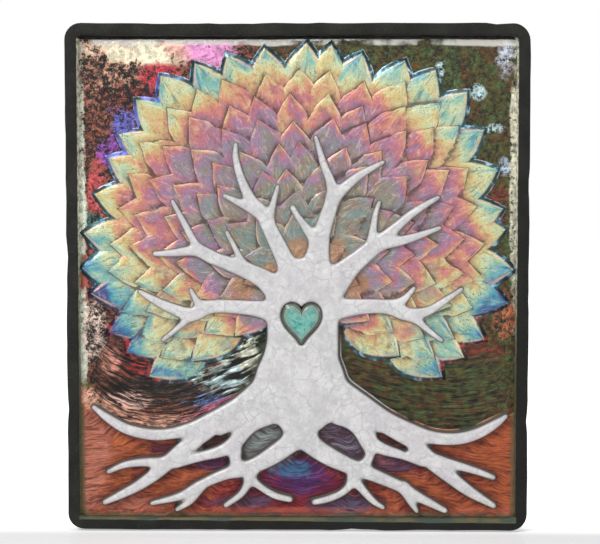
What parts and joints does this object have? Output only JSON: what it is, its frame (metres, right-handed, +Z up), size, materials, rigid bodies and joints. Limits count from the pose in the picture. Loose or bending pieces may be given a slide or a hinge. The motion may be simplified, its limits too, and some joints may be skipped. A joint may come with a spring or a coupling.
{
  "type": "raku wall plaque",
  "caption": "Rectangular raku-fired clay wall plaque with a tree of life in relief, a raised border and a hanging slot in the back.",
  "frame": {"origin": "middle of the flat back, in the plane of the wall", "axes": "+Z up, the relief faces -Y and +Y points into the wall, +X to the viewer's right"},
  "size_m": [0.2538, 0.015, 0.2788],
  "materials": {
    "glazed_clay": "smoked clay with lustre and crackle glazes"
  },
  "bodies": {
    "root": {"plaque": "glazed_clay"}
  },
  "joints": []
}
